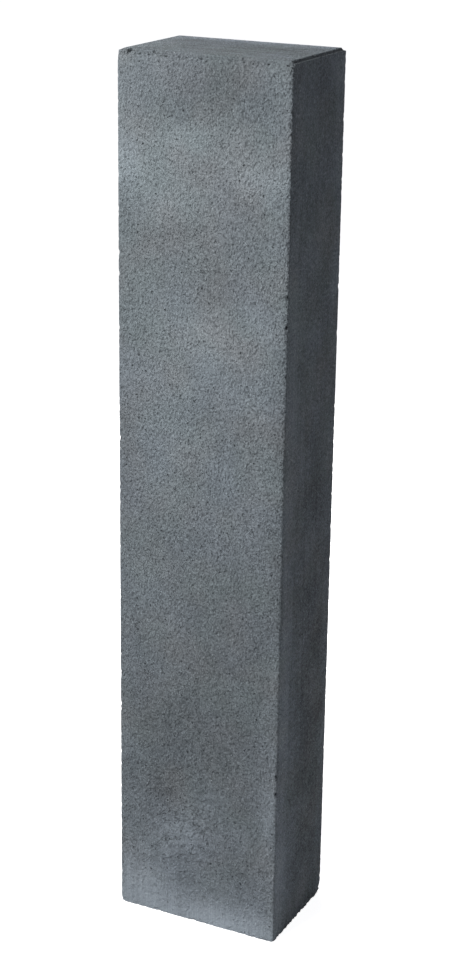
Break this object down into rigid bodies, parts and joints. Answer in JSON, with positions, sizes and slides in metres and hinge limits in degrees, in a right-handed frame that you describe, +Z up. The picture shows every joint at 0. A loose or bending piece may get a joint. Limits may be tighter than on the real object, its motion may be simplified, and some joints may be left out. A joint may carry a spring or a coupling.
{
  "type": "concrete block",
  "caption": "Tall solid concrete palisade block standing on end, with rounded upright arrises and a chamfered tamped top, for edging, steps and low retaining walls.",
  "frame": {"origin": "centre of the base that the block stands on", "axes": "+Z up along the height, X across the broad face, Y through the block with the broad front face at -Y"},
  "size_m": [0.18, 0.12, 0.9],
  "materials": {
    "concrete": "matt anthracite concrete with a fine sandy grain"
  },
  "bodies": {
    "root": {"concrete_block": "concrete"}
  },
  "joints": []
}
